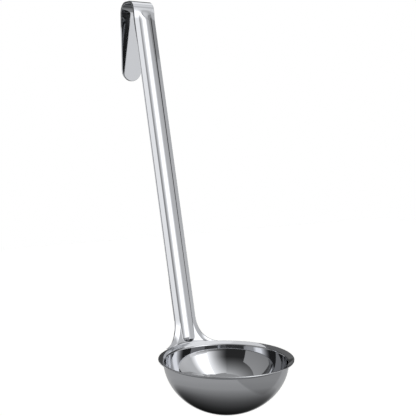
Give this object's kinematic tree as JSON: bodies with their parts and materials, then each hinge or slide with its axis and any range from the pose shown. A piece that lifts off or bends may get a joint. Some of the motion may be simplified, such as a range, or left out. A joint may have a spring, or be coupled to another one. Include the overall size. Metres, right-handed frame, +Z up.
{
  "type": "soup ladle",
  "caption": "Polished steel soup ladle: deep round bowl with a flared lip, ribbed strip handle leaning back, hook bent over at the top.",
  "frame": {"origin": "middle of the hook's seat, the flat underside of the bend that rests on a rail", "axes": "+Z up as it hangs, -Y towards the bowl's side, X across the handle"},
  "size_m": [0.1116, 0.2151, 0.347],
  "materials": {
    "polished_steel": "mirror-polished stainless steel, not plated"
  },
  "bodies": {
    "root": {"bowl": "polished_steel", "neck": "polished_steel", "shank": "polished_steel", "hook": "polished_steel"}
  },
  "joints": []
}
